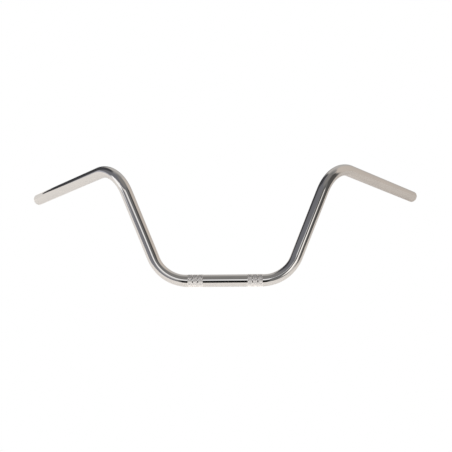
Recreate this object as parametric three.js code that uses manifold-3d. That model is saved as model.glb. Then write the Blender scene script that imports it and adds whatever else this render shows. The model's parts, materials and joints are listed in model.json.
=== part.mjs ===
// A one-piece motorcycle handlebar: a round steel tube, bent four times. It lies at rest on the
// knurled bands of its straight centre and on the rims of its two grip ends. Millimetres, +X
// along the straight centre to the rider's left, +Y from the clamps toward the rider, +Z up.
// The origin is on the tube's axis, halfway between the places where the clamps hold it.

import * as THREE from 'three';
import { mergeVertices } from 'three/addons/utils/BufferGeometryUtils.js';
import Module from 'manifold-3d';

const wasm = await Module();
wasm.setup();

// The tube: a 7/8 inch bar.
const TUBE_DIAMETER = 22.2;
const WALL = 2;
const TUBE_RADIUS = TUBE_DIAMETER / 2;
const BORE_RADIUS = TUBE_RADIUS - WALL;

// The centreline of the left half, from the middle outward. Lengths are of the straights.
const CENTRE_HALF = 67;
const RISER = 134;
const GRIP = 238;
const BEND_RADIUS = 67;
const RISER_ANGLE = 67.5;
const GRIP_SWEEP = 49;
const GRIP_DROP = 2;

// The knurled bands rolled into the tube where the clamps grip it.
const CLAMP_OFFSET = 53.5;
const BANDS_PER_CLAMP = 3;
const BAND_WIDTH = 7.6;
const BAND_PITCH = 9.5;
const BAND_RISE = 0.2;

// The deburred outer edge at each end of the tube.
const END_CHAMFER = 0.5;

// How finely the round shapes are divided.
const SIDES = 28;
const BEND_STEPS = 12;

// How far a shape that is joined or cut reaches past the surface that it works on.
const OVERLAP = 1;

// How closely the tilt at rest is worked out, in radians.
const TILT_TOLERANCE = 1e-9;

const X_AXIS = new THREE.Vector3(1, 0, 0);

/** A direction that leans outward and up by `rise` degrees, and turns back by `sweep` degrees. */
function heading(sweep, rise) {
  const flat = Math.cos(THREE.MathUtils.degToRad(rise));
  return new THREE.Vector3(
    flat * Math.cos(THREE.MathUtils.degToRad(sweep)),
    flat * Math.sin(THREE.MathUtils.degToRad(sweep)),
    Math.sin(THREE.MathUtils.degToRad(rise)),
  );
}

/** Adds the far end of a straight stretch to a list of stations. */
function goStraight(stations, length) {
  const { point, along } = stations.at(-1);
  stations.push({ point: point.clone().addScaledVector(along, length), along: along.clone() });
}

/** Adds the stations of a circular bend that turns the tube to a new direction. */
function goRound(stations, newAlong) {
  const { point, along } = stations.at(-1);
  const axis = along.clone().cross(newAlong).normalize();
  const toStart = along.clone().cross(axis).multiplyScalar(BEND_RADIUS);
  const centre = point.clone().sub(toStart);
  const turn = along.angleTo(newAlong);
  for (let step = 1; step <= BEND_STEPS; step += 1) {
    const angle = (turn * step) / BEND_STEPS;
    stations.push({
      point: centre.clone().add(toStart.clone().applyAxisAngle(axis, angle)),
      along: along.clone().applyAxisAngle(axis, angle),
    });
  }
}

/** The stations of the left half of the centreline, each a point and the tube's direction there. */
function leftHalf() {
  const stations = [{ point: new THREE.Vector3(), along: X_AXIS.clone() }];
  goStraight(stations, CENTRE_HALF);
  goRound(stations, heading(0, RISER_ANGLE));
  goStraight(stations, RISER);
  goRound(stations, heading(GRIP_SWEEP, -GRIP_DROP));
  goStraight(stations, GRIP);
  return stations.slice(1);
}

/** The same stations on the right half, walked from the right end toward the middle. */
function rightHalf() {
  const mirror = new THREE.Vector3(-1, 1, 1);
  return leftHalf().reverse().map(({ point, along }) => ({
    point: point.clone().multiply(mirror),
    along: along.clone().multiply(mirror).negate(),
  }));
}

/** A centreline with its divisions only where it has stations, so straights stay one step long. */
class Centreline extends THREE.Curve {
  constructor(stations) {
    super();
    this.stations = stations;
  }

  station(u) {
    return this.stations[Math.round(u * (this.stations.length - 1))];
  }

  getPointAt(u, target = new THREE.Vector3()) {
    return target.copy(this.station(u).point);
  }

  getTangentAt(u, target = new THREE.Vector3()) {
    return target.copy(this.station(u).along);
  }
}

/** The solid of a closed mesh, ready to be joined and cut. */
function solidOf(geometry) {
  const bare = geometry.clone();
  bare.deleteAttribute('normal');
  bare.deleteAttribute('uv');
  const merged = mergeVertices(bare);
  return new wasm.Manifold(new wasm.Mesh({
    numProp: 3,
    vertProperties: new Float32Array(merged.attributes.position.array),
    triVerts: new Uint32Array(merged.index.array),
  }));
}

/** The mesh geometry of a solid. */
function geometryOf(solid) {
  const mesh = solid.getMesh();
  const geometry = new THREE.BufferGeometry();
  geometry.setAttribute('position', new THREE.BufferAttribute(mesh.vertProperties, 3));
  geometry.setIndex(new THREE.BufferAttribute(mesh.triVerts, 1));
  const faceted = geometry.toNonIndexed();
  faceted.computeVertexNormals();
  return faceted;
}

/** The bent tube, open at both ends. A full circle gets two sides for each curve segment. */
function bentTube() {
  const centreline = new Centreline([...rightHalf(), ...leftHalf()]);
  const section = new THREE.Shape().absarc(0, 0, TUBE_RADIUS, 0, 2 * Math.PI);
  section.holes.push(new THREE.Path().absarc(0, 0, BORE_RADIUS, 0, 2 * Math.PI));
  return new THREE.ExtrudeGeometry(section, {
    curveSegments: SIDES / 2,
    steps: centreline.stations.length - 1,
    extrudePath: centreline,
  });
}

/** A ring about the X axis, turned from a closed outline of [radius, x] points. */
function ringAboutX(outline) {
  const points = outline.map(([radius, x]) => new THREE.Vector2(radius, x));
  points.push(points[0].clone());
  return new THREE.LatheGeometry(points, SIDES).rotateZ(-Math.PI / 2);
}

/** One raised, knurled band around the straight centre of the tube. */
function knurledBand(x) {
  const inner = TUBE_RADIUS - OVERLAP;
  const outer = TUBE_RADIUS + BAND_RISE;
  const half = BAND_WIDTH / 2;
  return ringAboutX([[inner, -half], [outer, -half], [outer, half], [inner, half]]).translate(x, 0, 0);
}

/** The ring that takes the sharp outer edge off the end of the tube that faces `end.along`. */
function endChamferCutter(end) {
  const reach = END_CHAMFER + OVERLAP;
  const cutter = ringAboutX([
    [TUBE_RADIUS - reach, OVERLAP],
    [TUBE_RADIUS + OVERLAP, -reach],
    [TUBE_RADIUS + OVERLAP, OVERLAP],
  ]);
  const turn = new THREE.Quaternion().setFromUnitVectors(X_AXIS, end.along);
  return cutter.applyQuaternion(turn).translate(end.point.x, end.point.y, end.point.z);
}

/** The places of the knurled bands along the centre, clamp by clamp. */
function bandPlaces() {
  const places = [];
  for (const clamp of [-CLAMP_OFFSET, CLAMP_OFFSET]) {
    for (let band = 0; band < BANDS_PER_CLAMP; band += 1) {
      places.push(clamp + (band - (BANDS_PER_CLAMP - 1) / 2) * BAND_PITCH);
    }
  }
  return places;
}

/** How far the bar tips back, in radians, to lie on its knurled bands and on both grip-end rims. */
function restTilt() {
  const { point, along } = leftHalf().at(-1);
  const rim = point.clone().addScaledVector(along, -END_CHAMFER);
  const heightOverBands = (tilt) => {
    const rimCentre = rim.clone().applyAxisAngle(X_AXIS, -tilt).z;
    const slope = along.clone().applyAxisAngle(X_AXIS, -tilt).z;
    return rimCentre - TUBE_RADIUS * Math.sqrt(1 - slope * slope) + TUBE_RADIUS + BAND_RISE;
  };
  let tooUpright = 0;
  let tooFlat = Math.PI / 2;
  while (tooFlat - tooUpright > TILT_TOLERANCE) {
    const tilt = (tooUpright + tooFlat) / 2;
    if (heightOverBands(tilt) > 0) {
      tooUpright = tilt;
    } else {
      tooFlat = tilt;
    }
  }
  return tooFlat;
}

/** The whole bar: the bent tube with its knurled bands and deburred ends. */
function handlebarTube() {
  let solid = solidOf(bentTube());
  for (const x of bandPlaces()) {
    solid = solid.add(solidOf(knurledBand(x)));
  }
  const leftEnd = leftHalf().at(-1);
  const rightEnd = rightHalf().at(0);
  rightEnd.along.negate();
  for (const end of [leftEnd, rightEnd]) {
    solid = solid.subtract(solidOf(endChamferCutter(end)));
  }
  const chrome = new THREE.MeshStandardMaterial({ color: 0xd8d6d2, roughness: 0.08, metalness: 1 });
  const mesh = new THREE.Mesh(geometryOf(solid), chrome);
  mesh.name = 'handlebar_tube';
  return mesh;
}

const group = new THREE.Group();
group.add(handlebarTube());
group.rotation.x = -restTilt();

export default group;
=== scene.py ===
"""A chromed motorcycle handlebar lying on a pale studio floor.

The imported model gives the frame: the tube's size, the middle of the clamps, the tilt at rest and
the ends. Around the same centreline this script builds the bar that is seen: one closed tube
with slightly oval bends, rolled diamond knurling, rounded rims and a bore with a weld bead.
Lengths are in metres and angles in degrees, unless a name says otherwise.
"""

import json
import math
from collections import namedtuple

import bpy
import numpy as np
from mathutils import Euler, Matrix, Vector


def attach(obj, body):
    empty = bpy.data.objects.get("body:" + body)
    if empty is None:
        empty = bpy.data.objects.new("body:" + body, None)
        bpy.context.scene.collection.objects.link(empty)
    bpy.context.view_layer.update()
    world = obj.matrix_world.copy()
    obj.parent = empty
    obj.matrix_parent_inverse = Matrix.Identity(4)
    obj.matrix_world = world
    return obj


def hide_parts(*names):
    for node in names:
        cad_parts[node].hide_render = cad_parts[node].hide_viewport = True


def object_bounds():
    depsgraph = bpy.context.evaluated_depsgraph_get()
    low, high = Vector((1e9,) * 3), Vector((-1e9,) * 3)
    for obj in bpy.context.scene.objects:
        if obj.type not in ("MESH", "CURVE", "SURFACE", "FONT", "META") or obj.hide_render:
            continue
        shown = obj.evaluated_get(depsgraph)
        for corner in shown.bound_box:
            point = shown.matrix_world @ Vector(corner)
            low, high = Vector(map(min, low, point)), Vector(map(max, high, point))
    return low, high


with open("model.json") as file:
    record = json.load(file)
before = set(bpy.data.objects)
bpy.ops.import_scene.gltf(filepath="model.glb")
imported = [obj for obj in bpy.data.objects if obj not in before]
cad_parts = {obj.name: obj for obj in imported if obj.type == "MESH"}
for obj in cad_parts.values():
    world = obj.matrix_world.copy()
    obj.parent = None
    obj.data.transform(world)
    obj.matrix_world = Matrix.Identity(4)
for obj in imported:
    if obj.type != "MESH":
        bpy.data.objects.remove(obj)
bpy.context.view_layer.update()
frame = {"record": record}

MM = 0.001
NODE = "handlebar_tube"
MOUNTS = {mount["name"]: mount for mount in frame["record"]["mounts"]}

# The tube and its centreline, as in the CAD model.
TUBE_RADIUS = MOUNTS["bar_clamps"]["dims"]["r_mm"] * MM
CENTRE_HALF = MOUNTS["bar_clamps"]["dims"]["length_mm"] * MM / 2
WALL = 2 * MM
BORE_RADIUS = TUBE_RADIUS - WALL
RISER = 134 * MM
GRIP = 238 * MM
BEND_RADIUS = 67 * MM
RISER_ANGLE = 67.5
GRIP_SWEEP = 49
GRIP_DROP = 2

# What bending leaves: curvature that starts gently, and a section squeezed across each bend. The
# centreline is walked in fine steps.
BEND_LEAD_IN = 6 * MM
SQUEEZE = 0.05
SQUEEZE_LEAD_IN = 22 * MM
WALK_STEP = 0.01 * MM

# Where the rings of the mesh lie, and the angle from which an edge is drawn sharp.
DIAMONDS_AROUND = 46
RINGS_PER_DIAMOND = 4
SIDES = DIAMONDS_AROUND * RINGS_PER_DIAMOND
STRAIGHT_SPACING = 20 * MM
BEND_SPACING = 2 * MM
BORE_STRAIGHT_SPACING = 34 * MM
BORE_BEND_SPACING = 4 * MM
RIM_RINGS = 6
SHARP_ANGLE = 25
SIDE_ANGLES = np.arange(SIDES) * 2 * math.pi / SIDES

# The knurled bands, three at each clamp. Their diamonds rise as much faster than plain pyramids as
# the bluntness says, and stop at the crest's height.
CLAMP_OFFSET = 53.5 * MM
BANDS_PER_CLAMP = 3
BAND_PITCH = 9.5 * MM
DIAMONDS_ALONG = 5
DIAMOND_LENGTH = 1.46 * MM
CREST_RISE = 0.2 * MM
GROOVE_DEPTH = 0.03 * MM
SHOULDER = 0.25 * MM
BLUNTNESS = 1.5

# The deburred ends, with fine rings on the cut, and the weld bead in the bore.
RIM_RADIUS = 1.0 * MM
MOUTH_CHAMFER = 0.3 * MM
CUT_PITCH = 0.21 * MM
BEAD_HEIGHT = 0.25 * MM
BEAD_HALF_WIDTH = 0.9 * MM
BEAD_ANGLE = 200

# The camera, in the row frame.
CAMERA_PLACE = (8.3 * MM, -1241.3 * MM, 883.3 * MM)
CAMERA_PITCH = -31.747
CAMERA_YAW = 0.265
CAMERA_ROLL = -0.593
CAMERA_LENS = 67.46
SENSOR_WIDTH = 36

# The floor sheet, whose back edge runs away from the camera toward the left, and the painted light
# that the bar mirrors on it: how brightly it glows on the left and on the right, and where along X it
# dims and turns beige.
FLOOR_LEFT = -2.5
FLOOR_RIGHT = 0.8
FLOOR_FRONT = -0.22
FLOOR_BACK = 0.33
FLOOR_SPLAY_FROM = -0.25
FLOOR_SPLAY_BACK = 1.6
FLOOR_GLOW_LEFT = 0.82
FLOOR_GLOW_RIGHT = 0.46
FLOOR_CHANGE_START = 0.1
FLOOR_CHANGE_END = 0.35

# A low white card that stands on the floor beyond the end of the bar at the camera's left. Only
# the bar's mirror sees it.
CARD_NEAR = (-0.47, 0.31)
CARD_FAR = (-0.40, 0.38)
CARD_HEIGHT = 0.034
CARD_LIGHT = 1.2

# Light colours, and the strength of plain studio white.
NEUTRAL = (1.0, 1.0, 1.0)
WARM = (1.04, 1.0, 0.955)
BEIGE = (1.11, 1.0, 0.90)
COOL = (0.99, 1.0, 1.10)
STUDIO_WHITE = 1.0

# What stands around the bar and is mirrored in it, later ones in front of earlier ones. Azimuth 0
# is where the camera stands, and +90 is to its right. A panel with a slope rises to the right.
Panel = namedtuple("Panel", "what azimuth elevation width height edge slope light colour")
CEILING = 0.25
STUDIO = (
    Panel("cool ceiling", -75, 60, 150, 90, 30, 0, 0.26, COOL),
    Panel("ceiling lamp", 0, 90, 360, 36, 12, 0, 0.34, WARM),
    Panel("rear wall", 160, -28, 130, 160, 50, 0, 0.78, WARM),
    Panel("right wall", 122, -8, 60, 116, 8, 0, 0.80, BEIGE),
    Panel("left front wall", -42, -5, 70, 70, 14, 0, 0.34, COOL),
    Panel("front wall", 0, 0, 30, 66, 8, 0, 0.26, NEUTRAL),
    Panel("dark doorway", -138, 10, 42, 84, 12, 0, 0.09, COOL),
    Panel("doorway floor", -152, -18, 46, 44, 10, 0, 0.08, COOL),
    Panel("left wall", -106, 25, 26, 40, 10, 0, 0.25, COOL),
    Panel("left low light", -96, 2, 38, 14, 6, 0, 0.72, COOL),
    Panel("window", -77, 19, 26, 28, 5, 0.8, 1.65, NEUTRAL),
    Panel("window strip", -52, 40, 54, 8, 4, 0.45, 1.20, WARM),
    Panel("overhead soft box", -11, 48, 30, 20, 3, 0, 1.35, NEUTRAL),
    Panel("lower soft box", -16, 33, 22, 14, 8, 0, 0.85, NEUTRAL),
    Panel("dim ceiling", 26, 51, 30, 15, 6, 0, 0.17, NEUTRAL),
    Panel("key soft box", 35, 26, 23, 31, 5, 0, 1.80, WARM),
    Panel("key reflector", 47, 6, 18, 34, 8, 0, 0.80, WARM),
    Panel("dark curtain", 73, 20, 36, 80, 8, 0, 0.13, WARM),
    Panel("curtain rail", 84, 50, 28, 24, 6, 0, 0.12, WARM),
    Panel("camera stand", -0.5, 10, 17, 38, 5, 0, 0.002, NEUTRAL),
)

# The colours of chromium: polished, polished and faintly yellow, lightened on a crest as a painted
# highlight, and dull, which is the tone of a cut and the painted shade in a groove. The glancing tint
# dims the mirror at a glancing angle, as chromium does.
CHROMIUM = (0.555, 0.548, 0.540, 1)
YELLOW_CHROMIUM = (0.580, 0.568, 0.556, 1)
CREST_HIGHLIGHT_CHROMIUM = (0.89, 0.88, 0.87, 1)
DULL_CHROMIUM_AND_GROOVE_SHADE = (0.48, 0.47, 0.46, 1)
GLANCING_TINT = (0.75, 0.75, 0.76, 1)

# The colours of the bare steel inside, and of the floor's paper.
DARK_STEEL = (0.10, 0.095, 0.09, 1)
GREY_STEEL = (0.26, 0.25, 0.24, 1)
RUST = (0.13, 0.06, 0.03, 1)
PAPER = (0.85, 0.83, 0.80, 1)


# ---------------------------------------------------------------- the centreline


def heading(sweep, rise):
    """The direction that leans up by rise and back by sweep, on a bar that stands upright."""
    flat = math.cos(math.radians(rise))
    return np.array([
        flat * math.cos(math.radians(sweep)),
        flat * math.sin(math.radians(sweep)),
        math.sin(math.radians(rise)),
    ])


def tilt_at_rest():
    """How far the bar tips back about X, in radians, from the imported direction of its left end."""
    upright = heading(GRIP_SWEEP, -GRIP_DROP)
    resting = MOUNTS["left_end_face"]["axis"]
    return math.atan2(upright[2], upright[1]) - math.atan2(resting[2], resting[1])


def tipped(vector):
    """A direction on the upright bar, as it lies at rest."""
    tilt = tilt_at_rest()
    x, y, z = vector
    return np.array([
        x,
        y * math.cos(tilt) + z * math.sin(tilt),
        z * math.cos(tilt) - y * math.sin(tilt),
    ])


def turned(vector, axis, angles):
    """A vector turned about a unit axis by each of several angles, in radians."""
    cos = np.cos(angles)[:, None]
    sin = np.sin(angles)[:, None]
    return vector * cos + np.cross(axis, vector) * sin + axis * (axis @ vector) * (1 - cos)


def smooth(x):
    """A smooth step from 0 at x = 0 to 1 at x = 1."""
    x = np.clip(x, 0, 1)
    return x * x * (3 - 2 * x)


class Centreline:
    """The left half of the centreline, walked from the middle of the bar out to its end.

    Each sample, WALK_STEP after the last, has its point, the two directions across the tube, how
    far bending has squeezed the section, and the angle around the tube that the squeeze points to.
    """

    def __init__(self):
        self.point = np.zeros(3)
        self.along = np.array([1.0, 0.0, 0.0])
        self.across = tipped(np.array([0.0, 0.0, 1.0]))
        self.samples = []
        self.straight(CENTRE_HALF - BEND_LEAD_IN / 2)
        self.lower_bend = self.bend(tipped(heading(0, RISER_ANGLE)))
        self.straight(RISER - BEND_LEAD_IN)
        self.upper_bend = self.bend(tipped(heading(GRIP_SWEEP, -GRIP_DROP)))
        self.straight(GRIP - BEND_LEAD_IN / 2 + WALK_STEP)
        self.samples = np.concatenate(self.samples)
        self.length = (len(self.samples) - 1) * WALK_STEP

    def distance(self):
        """How far from the middle of the bar the walk has come."""
        return sum(len(stretch) for stretch in self.samples) * WALK_STEP

    def add(self, alongs, acrosses, squeeze, squeeze_angle):
        """Adds one stretch, whose first sample is where the walk stands now."""
        moves = np.vstack([np.zeros(3), alongs]) * WALK_STEP
        points = self.point + np.cumsum(moves, axis=0)
        self.samples.append(np.column_stack([
            points[:-1],
            acrosses,
            np.cross(alongs, acrosses),
            squeeze,
            np.full(len(alongs), squeeze_angle),
        ]))
        self.point = points[-1]
        self.along = alongs[-1]
        self.across = acrosses[-1]

    def straight(self, length):
        """Walks straight on."""
        count = round(length / WALK_STEP)
        self.add(np.tile(self.along, (count, 1)), np.tile(self.across, (count, 1)),
                 np.zeros(count), 0.0)

    def bend(self, new_along):
        """Walks round to a new direction. Returns the distances at which the bend starts and ends."""
        start = self.distance()
        axis = np.cross(self.along, new_along)
        axis /= np.linalg.norm(axis)
        turn = math.acos(self.along @ new_along)
        length = BEND_RADIUS * turn + BEND_LEAD_IN
        places = np.arange(round(length / WALK_STEP)) * WALK_STEP
        to_nearer_end = np.minimum(places, length - places)
        angles = np.cumsum(smooth(to_nearer_end / BEND_LEAD_IN))
        angles *= turn / angles[-1]
        inward = np.cross(axis, self.along)
        over = np.cross(self.along, self.across)
        self.add(turned(self.along, axis, angles), turned(self.across, axis, angles),
                 smooth(to_nearer_end / SQUEEZE_LEAD_IN),
                 math.atan2(inward @ over, inward @ self.across))
        return start, self.distance()

    def at(self, distance):
        """The point, the two directions across, the squeeze and its angle at a distance."""
        index = min(round(distance / WALK_STEP), len(self.samples) - 1)
        sample = self.samples[index]
        return sample[0:3], sample[3:6], sample[6:9], sample[9], sample[10]


CENTRELINE = Centreline()
HALF_LENGTH = CENTRELINE.length
LOWER_BEND_START, LOWER_BEND_END = CENTRELINE.lower_bend
UPPER_BEND_START, UPPER_BEND_END = CENTRELINE.upper_bend


# ---------------------------------------------------------------- the rings of the mesh


def band_middles():
    """How far from the middle of the bar each knurled band on one side has its own middle."""
    return [
        CLAMP_OFFSET + (band - (BANDS_PER_CLAMP - 1) / 2) * BAND_PITCH
        for band in range(BANDS_PER_CLAMP)
    ]


def evenly(start, end, spacing):
    """Places from start up to, but not at, end, no further apart than spacing."""
    count = max(1, math.ceil((end - start) / spacing))
    return [start + (end - start) * i / count for i in range(count)]


def evenly_through(start, end, spacing):
    """Places from start to end, with one at the end too."""
    return evenly(start, end, spacing) + [end]


def plain(distance):
    """A ring of the polished outer wall."""
    return {"distance": distance, "radius": TUBE_RADIUS, "zone": "chrome"}


def knurl_rings(middle):
    """The rings of one knurled band, with its shoulders."""
    rows = DIAMONDS_ALONG * RINGS_PER_DIAMOND
    half = DIAMONDS_ALONG * DIAMOND_LENGTH / 2
    rings = [plain(middle - half - SHOULDER)]
    for row in range(rows + 1):
        distance = middle - half + 2 * half * row / rows
        rings.append({"distance": distance, "radius": TUBE_RADIUS, "zone": "knurl", "row": row})
    rings.append(plain(middle + half + SHOULDER))
    return rings


def outer_rings():
    """The rings of the outer wall of the left half, from the middle to the rim.

    A plain ring stands close to each side of every band, and close to the rim, so that the mirror
    between them stays true.
    """
    rings = []
    reached = 0.0
    for middle in band_middles():
        band = knurl_rings(middle)
        places = evenly_through(reached, band[0]["distance"] - SHOULDER, STRAIGHT_SPACING)
        rings += [plain(place) for place in places] + band
        reached = band[-1]["distance"] + SHOULDER
    places = evenly(reached, LOWER_BEND_END, BEND_SPACING)
    places += evenly(LOWER_BEND_END, UPPER_BEND_START, STRAIGHT_SPACING)
    places += evenly(UPPER_BEND_START, UPPER_BEND_END, BEND_SPACING)
    places += evenly_through(UPPER_BEND_END, HALF_LENGTH - RIM_RADIUS - SHOULDER, STRAIGHT_SPACING)
    return rings + [plain(place) for place in places]


def rim_rings():
    """The rounded outer edge, the flat end and the chamfered mouth of the bore."""
    rings = []
    for i in range(RIM_RINGS + 1):
        angle = math.pi / 2 * i / RIM_RINGS
        rings.append({
            "distance": HALF_LENGTH - RIM_RADIUS * (1 - math.sin(angle)),
            "radius": TUBE_RADIUS - RIM_RADIUS * (1 - math.cos(angle)),
            "zone": "chrome",
        })
    rings.append({"distance": HALF_LENGTH, "radius": BORE_RADIUS + MOUTH_CHAMFER, "zone": "end"})
    return rings


def bore_rings():
    """The rings of the bore of the left half, from its mouth to the middle."""
    places = evenly(0, LOWER_BEND_START, BORE_STRAIGHT_SPACING)
    places += evenly(LOWER_BEND_START, LOWER_BEND_END, BORE_BEND_SPACING)
    places += evenly(LOWER_BEND_END, UPPER_BEND_START, BORE_STRAIGHT_SPACING)
    places += evenly(UPPER_BEND_START, UPPER_BEND_END, BORE_BEND_SPACING)
    places += evenly_through(UPPER_BEND_END, HALF_LENGTH - MOUTH_CHAMFER, BORE_STRAIGHT_SPACING)
    return [
        {"distance": place, "radius": BORE_RADIUS, "zone": "bore"}
        for place in reversed(places)
    ]


def all_rings():
    """Every ring, out along the left half, back through the whole bore and in along the right."""
    left = outer_rings() + rim_rings() + bore_rings()
    right = [dict(ring, distance=-ring["distance"]) for ring in reversed(left)]
    # Both halves have the two rings at the middle, and those of the left half serve for both.
    return left + right[1:-1]


def knurl_height(row, side):
    """The height of the blunt diamonds at a row and side, from 0 in a groove to 1 on a crest."""
    half = RINGS_PER_DIAMOND / 2
    up = abs((side + row + half) % RINGS_PER_DIAMOND - half) / half
    down = abs((side - row + half) % RINGS_PER_DIAMOND - half) / half
    return min(1, BLUNTNESS * min(up, down))


def ring_heights(ring):
    """The knurl's height at each side of a ring, 0.5 where there is no knurl."""
    if "row" not in ring:
        return np.full(SIDES, 0.5)
    return np.array([knurl_height(ring["row"], side) for side in range(SIDES)])


def ring_radii(ring, squeeze, squeeze_angle):
    """The distance from the centreline to the wall at each side of a ring."""
    radii = np.full(SIDES, ring["radius"])
    if "row" in ring:
        heights = ring_heights(ring)
        radii = radii - GROOVE_DEPTH + heights * (GROOVE_DEPTH + CREST_RISE)
    if ring["zone"] == "bore":
        from_bead = (SIDE_ANGLES - math.radians(BEAD_ANGLE)) * ring["radius"]
        radii = radii - BEAD_HEIGHT * np.exp(-((from_bead / BEAD_HALF_WIDTH) ** 2))
    across_bend = 1 - SQUEEZE * squeeze
    along_bend = 1 + SQUEEZE / 2 * squeeze
    in_plane = np.cos(SIDE_ANGLES - squeeze_angle) / across_bend
    out_of_plane = np.sin(SIDE_ANGLES - squeeze_angle) / along_bend
    return radii / np.hypot(in_plane, out_of_plane)


def ring_points(ring):
    """The points of a ring, in the row frame."""
    point, across, over, squeeze, squeeze_angle = CENTRELINE.at(abs(ring["distance"]))
    radii = ring_radii(ring, squeeze, squeeze_angle)[:, None]
    outward = np.cos(SIDE_ANGLES)[:, None] * across + np.sin(SIDE_ANGLES)[:, None] * over
    points = point + radii * outward
    if ring["distance"] < 0:
        points[:, 0] *= -1
    return points


def straightened_points(ring):
    """Where the points of a ring would be on a straight tube that runs along Z."""
    return np.column_stack([
        ring["radius"] * np.cos(SIDE_ANGLES),
        ring["radius"] * np.sin(SIDE_ANGLES),
        np.full(SIDES, ring["distance"]),
    ])


# ---------------------------------------------------------------- the mesh


def faces_between(ring, next_ring, start, next_start):
    """The faces between two rings, whose points start at two places in the list of points.

    A knurled face is folded along the diagonal that a groove runs on. That is the one whose ends
    have an even sum of row and side.
    """
    faces = []
    knurled = "row" in ring and "row" in next_ring
    for side in range(SIDES):
        other = (side + 1) % SIDES
        a, b = start + side, start + other
        c, d = next_start + other, next_start + side
        if not knurled:
            faces.append((a, b, c, d))
        elif (ring["row"] + side) % 2 == 0:
            faces += [(a, b, c), (a, c, d)]
        else:
            faces += [(a, b, d), (b, c, d)]
    return faces


def zone_between(ring, next_ring):
    """The material zone of the faces between two rings."""
    zones = {ring["zone"], next_ring["zone"]}
    for zone in ("bore", "end", "knurl"):
        if zone in zones:
            return zone
    return "chrome"


def tube_mesh(materials):
    """The whole bar as one closed mesh. Each point knows its place on the straightened tube."""
    rings = all_rings()
    points = np.concatenate([ring_points(ring) for ring in rings])
    heights = np.concatenate([ring_heights(ring) for ring in rings])
    places = np.concatenate([straightened_points(ring) for ring in rings])
    zones = list(materials)
    faces = []
    material_of = []
    for i, ring in enumerate(rings):
        next_i = (i + 1) % len(rings)
        next_ring = rings[next_i]
        new_faces = faces_between(ring, next_ring, i * SIDES, next_i * SIDES)
        faces += new_faces
        material_of += [zones.index(zone_between(ring, next_ring))] * len(new_faces)
    mesh = bpy.data.meshes.new("chromed_handlebar")
    mesh.from_pydata(points.tolist(), [], faces)
    for material in materials.values():
        mesh.materials.append(material)
    mesh.polygons.foreach_set("material_index", material_of)
    mesh.attributes.new("tube_place", "FLOAT_VECTOR", "POINT").data.foreach_set(
        "vector", places.ravel()
    )
    mesh.attributes.new("knurl_height", "FLOAT", "POINT").data.foreach_set("value", heights)
    return mesh


def chromed_handlebar(materials):
    """The visible bar, which stands for the CAD tube."""
    mesh = tube_mesh(materials)
    bar = bpy.data.objects.new("chromed_handlebar", mesh)
    bpy.context.scene.collection.objects.link(bar)
    knurl = list(materials).index("knurl")
    for face in mesh.polygons:
        face.use_smooth = face.material_index != knurl
    mesh.set_sharp_from_angle(angle=math.radians(SHARP_ANGLE))
    mesh.update()
    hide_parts(NODE)
    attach(bar, "root")


# ---------------------------------------------------------------- materials


class Nodes:
    """A short way to write a material's or the world's node tree."""

    def __init__(self, tree):
        self.tree = tree
        tree.nodes.clear()

    def add(self, kind, inputs=None, **settings):
        """A new node with its settings. Each input is linked to a socket or set to a value."""
        node = self.tree.nodes.new(kind)
        for name, value in settings.items():
            setattr(node, name, value)
        for name, value in (inputs or {}).items():
            if isinstance(value, bpy.types.NodeSocket):
                self.tree.links.new(value, node.inputs[name])
            else:
                node.inputs[name].default_value = value
        return node

    def math(self, operation, first, second=0.0, third=0.0):
        """The result of one math operation."""
        node = self.add("ShaderNodeMath", {0: first, 1: second, 2: third}, operation=operation)
        return node.outputs[0]

    def scaled_place(self, around, along):
        """The place on the straightened tube, scaled around it and along it."""
        place = self.add("ShaderNodeAttribute", attribute_name="tube_place").outputs["Vector"]
        scaled = self.add("ShaderNodeVectorMath", {0: place, 1: (around, around, along)},
                          operation="MULTIPLY")
        return scaled.outputs["Vector"]

    def noise(self, around, along, detail=2.0, distortion=0.0):
        """Noise with so many grains per metre around the tube and along it."""
        return self.add("ShaderNodeTexNoise", {
            "Vector": self.scaled_place(around, along),
            "Scale": 1.0,
            "Detail": detail,
            "Distortion": distortion,
        }).outputs["Fac"]

    def ramp(self, value, low, high, start=0.0, end=1.0, **settings):
        """A value mapped from start..end to low..high, and held there."""
        node = self.add("ShaderNodeMapRange", {
            "Value": value, "From Min": start, "From Max": end, "To Min": low, "To Max": high,
        }, **settings)
        return node.outputs["Result"]

    def colour_mix(self, factor, first, second):
        """The first colour where the factor is 0, and the second where it is 1."""
        node = self.add("ShaderNodeMix", {"Factor": factor, "A": first, "B": second},
                        data_type="RGBA")
        return node.outputs["Result"]

    def if_seen_directly(self, mirrored, seen):
        """One light for the camera's own view, and another in mirrors and as lighting."""
        direct = self.add("ShaderNodeLightPath").outputs["Is Camera Ray"]
        return self.add("ShaderNodeMixShader", {0: direct, 1: mirrored, 2: seen}).outputs[0]


def new_material(name):
    """An empty material and its nodes."""
    material = bpy.data.materials.new(name)
    material.use_nodes = True
    return material, Nodes(material.node_tree)


def polished_chrome():
    """Bright chrome: a clear mirror with the faint streaks and haze that polishing leaves."""
    material, nodes = new_material("polished_chrome")
    streaks = nodes.noise(around=900, along=40, detail=3)
    haze = nodes.noise(around=60, along=12, detail=3)
    yellowing = nodes.ramp(haze, 0, 1, start=0.35, end=0.65)
    roughness = nodes.math("MULTIPLY_ADD", streaks, 0.015, nodes.ramp(haze, 0.015, 0.035))
    bump = nodes.add("ShaderNodeBump", {
        "Height": nodes.noise(around=70, along=14, detail=1),
        "Strength": 0.025,
        "Distance": 0.6 * MM,
    })
    shader = nodes.add("ShaderNodeBsdfPrincipled", {
        "Base Color": nodes.colour_mix(yellowing, CHROMIUM, YELLOW_CHROMIUM),
        "Metallic": 1.0,
        "Specular Tint": GLANCING_TINT,
        "Roughness": roughness,
        "Normal": bump.outputs["Normal"],
    })
    nodes.add("ShaderNodeOutputMaterial", {"Surface": shader.outputs["BSDF"]})
    return material


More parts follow.
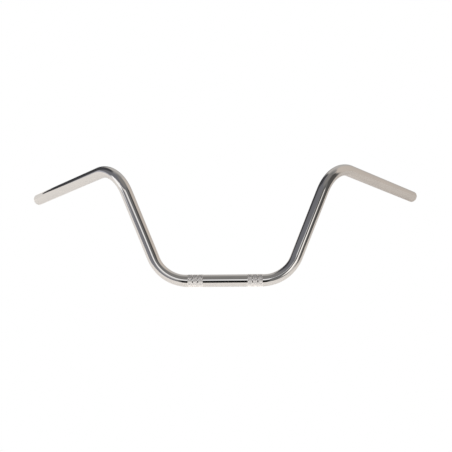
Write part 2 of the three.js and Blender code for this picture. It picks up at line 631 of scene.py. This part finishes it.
def knurled_chrome():
    """Chrome over rolled diamonds: a painted highlight on the crests, and painted shade in the
    rougher grooves that polishing doesn't reach.
    """
    material, nodes = new_material("knurled_chrome")
    height = nodes.add("ShaderNodeAttribute", attribute_name="knurl_height").outputs["Fac"]
    grain = nodes.noise(around=1800, along=1800, detail=3)
    level = nodes.math("MULTIPLY_ADD", grain, 0.3, height)
    # Painted light: the colour is lightened on the crests as a highlight and darkened in the grooves
    # as shade, mixed with a random grain.
    crest_light_groove_shade_and_grain = nodes.ramp(level, 0, 1, start=0.1, end=0.7)
    shader = nodes.add("ShaderNodeBsdfPrincipled", {
        "Base Color": nodes.colour_mix(crest_light_groove_shade_and_grain, DULL_CHROMIUM_AND_GROOVE_SHADE, CREST_HIGHLIGHT_CHROMIUM),
        "Metallic": 1.0,
        "Specular Tint": GLANCING_TINT,
        "Roughness": nodes.ramp(level, 0.38, 0.14, start=0.1, end=0.9),
    })
    nodes.add("ShaderNodeOutputMaterial", {"Surface": shader.outputs["BSDF"]})
    return material


def bore_steel():
    """Bare tube steel: grey, with mill scale and a little rust in patches."""
    material, nodes = new_material("bore_steel")
    scale = nodes.noise(around=300, along=120, detail=5)
    rust = nodes.noise(around=110, along=60, detail=6, distortion=1.5)
    steel = nodes.colour_mix(nodes.ramp(scale, 0, 1, start=0.3, end=0.7), DARK_STEEL, GREY_STEEL)
    rusting = nodes.ramp(rust, 0, 0.6, start=0.55, end=0.75)
    bump = nodes.add("ShaderNodeBump", {"Height": scale, "Strength": 0.3, "Distance": 0.4 * MM})
    shader = nodes.add("ShaderNodeBsdfPrincipled", {
        "Base Color": nodes.colour_mix(rusting, steel, RUST),
        "Metallic": 0.8,
        "Roughness": nodes.ramp(scale, 0.65, 0.42),
        "Normal": bump.outputs["Normal"],
    })
    nodes.add("ShaderNodeOutputMaterial", {"Surface": shader.outputs["BSDF"]})
    return material


def cut_end():
    """The saw-cut end face: plated, with the rings that deburring leaves."""
    material, nodes = new_material("cut_end")
    place = nodes.add("ShaderNodeAttribute", attribute_name="tube_place").outputs["Vector"]
    flat = nodes.add("ShaderNodeVectorMath", {0: place, 1: (1, 1, 0)}, operation="MULTIPLY")
    radius = nodes.add("ShaderNodeVectorMath", {0: flat.outputs["Vector"]}, operation="LENGTH")
    wobble = nodes.noise(around=500, along=1, detail=2)
    phase = nodes.math("MULTIPLY_ADD", radius.outputs["Value"], 2 * math.pi / CUT_PITCH, wobble)
    bump = nodes.add("ShaderNodeBump", {
        "Height": nodes.math("SINE", phase),
        "Strength": 0.25,
        "Distance": 0.05 * MM,
    })
    shader = nodes.add("ShaderNodeBsdfPrincipled", {
        "Base Color": nodes.colour_mix(wobble, DULL_CHROMIUM_AND_GROOVE_SHADE, YELLOW_CHROMIUM),
        "Metallic": 1.0,
        "Specular Tint": GLANCING_TINT,
        "Roughness": nodes.ramp(wobble, 0.18, 0.34),
        "Normal": bump.outputs["Normal"],
    })
    nodes.add("ShaderNodeOutputMaterial", {"Surface": shader.outputs["BSDF"]})
    return material


# ---------------------------------------------------------------- floor, light and camera


def stage_sheet(name, corners):
    """A flat sheet that belongs to the studio. Returns the nodes of its material."""
    mesh = bpy.data.meshes.new(name)
    mesh.from_pydata(corners, [], [range(len(corners))])
    sheet = bpy.data.objects.new(name, mesh)
    bpy.context.scene.collection.objects.link(sheet)
    material, nodes = new_material(name)
    mesh.materials.append(material)
    return nodes


def floor(height):
    """The pale floor, plain white to the eye. In the bar's mirror it has a soft shadow and a painted
    light that glows brighter on the left and dimmer and beige on the right.
    """
    nodes = stage_sheet("floor", [
        (FLOOR_LEFT, FLOOR_FRONT, height),
        (FLOOR_RIGHT, FLOOR_FRONT, height),
        (FLOOR_RIGHT, FLOOR_BACK, height),
        (FLOOR_SPLAY_FROM, FLOOR_BACK, height),
        (FLOOR_LEFT, FLOOR_SPLAY_BACK, height),
    ])
    place = nodes.add("ShaderNodeNewGeometry").outputs["Position"]
    sideways = nodes.add("ShaderNodeSeparateXYZ", {"Vector": place}).outputs["X"]
    # Painted light: the mirrored glow dims and turns beige from left to right, as if the studio light
    # fell off across the floor.
    painted_dimming_to_right = nodes.ramp(sideways, 0, 1, start=FLOOR_CHANGE_START, end=FLOOR_CHANGE_END)
    glow = nodes.add("ShaderNodeEmission", {
        "Color": nodes.colour_mix(painted_dimming_to_right, (*WARM, 1), (*BEIGE, 1)),
        "Strength": nodes.ramp(painted_dimming_to_right, FLOOR_GLOW_LEFT, FLOOR_GLOW_RIGHT),
    })
    paper = nodes.add("ShaderNodeBsdfDiffuse", {"Color": PAPER})
    mirrored = nodes.add("ShaderNodeAddShader", {
        0: glow.outputs["Emission"],
        1: paper.outputs["BSDF"],
    })
    seen = nodes.add("ShaderNodeEmission", {"Color": (*NEUTRAL, 1), "Strength": STUDIO_WHITE})
    nodes.add("ShaderNodeOutputMaterial", {
        "Surface": nodes.if_seen_directly(mirrored.outputs["Shader"], seen.outputs["Emission"]),
    })


def card(height):
    """The white card on the floor, clear to the eye and bright in the bar's mirror."""
    nodes = stage_sheet("card", [
        (*CARD_NEAR, height),
        (*CARD_FAR, height),
        (*CARD_FAR, height + CARD_HEIGHT),
        (*CARD_NEAR, height + CARD_HEIGHT),
    ])
    mirrored = nodes.add("ShaderNodeEmission", {"Color": (*WARM, 1), "Strength": CARD_LIGHT})
    seen = nodes.add("ShaderNodeBsdfTransparent")
    nodes.add("ShaderNodeOutputMaterial", {
        "Surface": nodes.if_seen_directly(mirrored.outputs["Emission"], seen.outputs["BSDF"]),
    })


def panel_mask(nodes, panel, azimuth, elevation):
    """1 on a panel of the studio and 0 off it, with soft edges."""
    beside = nodes.math("WRAP", nodes.math("SUBTRACT", azimuth, panel.azimuth), 180, -180)
    middle = nodes.math("MULTIPLY_ADD", beside, panel.slope, panel.elevation)
    rise = nodes.math("SUBTRACT", elevation, middle)
    masks = [
        nodes.ramp(nodes.math("ABSOLUTE", offset), 1, 0, start=(size - panel.edge) / 2,
                   end=(size + panel.edge) / 2, interpolation_type="SMOOTHSTEP")
        for offset, size in ((beside, panel.width), (rise, panel.height))
    ]
    return nodes.math("MULTIPLY", *masks)


def studio():
    """The studio around the bar: soft boxes and walls in its mirror, plain white to the eye."""
    world = bpy.data.worlds.new("studio")
    bpy.context.scene.world = world
    world.use_nodes = True
    nodes = Nodes(world.node_tree)
    direction = nodes.add("ShaderNodeTexCoord").outputs["Generated"]
    parts = nodes.add("ShaderNodeSeparateXYZ", {"Vector": direction}).outputs
    to_camera = nodes.math("MULTIPLY", parts["Y"], -1)
    azimuth = nodes.math("DEGREES", nodes.math("ARCTAN2", parts["X"], to_camera))
    elevation = nodes.math("DEGREES", nodes.math("ARCSINE", parts["Z"]))
    light = (CEILING, CEILING, CEILING, 1)
    for panel in STUDIO:
        mask = panel_mask(nodes, panel, azimuth, elevation)
        colour = (*(panel.light * channel for channel in panel.colour), 1)
        light = nodes.colour_mix(mask, light, colour)
    mirrored = nodes.add("ShaderNodeBackground", {"Color": light})
    seen = nodes.add("ShaderNodeBackground", {"Color": (*NEUTRAL, 1), "Strength": STUDIO_WHITE})
    nodes.add("ShaderNodeOutputWorld", {
        "Surface": nodes.if_seen_directly(mirrored.outputs["Background"],
                                          seen.outputs["Background"]),
    })


def camera():
    """The camera, at the height and angle from which the bar is seen."""
    data = bpy.data.cameras.new("camera")
    data.lens = CAMERA_LENS
    data.sensor_width = SENSOR_WIDTH
    eye = bpy.data.objects.new("camera", data)
    eye.location = CAMERA_PLACE
    aim = Euler((math.radians(90 + CAMERA_PITCH), 0, math.radians(CAMERA_YAW))).to_matrix()
    roll = Euler((0, 0, math.radians(CAMERA_ROLL))).to_matrix()
    eye.rotation_euler = (aim @ roll).to_euler()
    bpy.context.scene.collection.objects.link(eye)
    bpy.context.scene.camera = eye


camera()
chromed_handlebar({
    "chrome": polished_chrome(),
    "knurl": knurled_chrome(),
    "end": cut_end(),
    "bore": bore_steel(),
})
low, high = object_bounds()
floor(low.z)
card(low.z)
studio()
bpy.context.scene.view_settings.view_transform = "Standard"
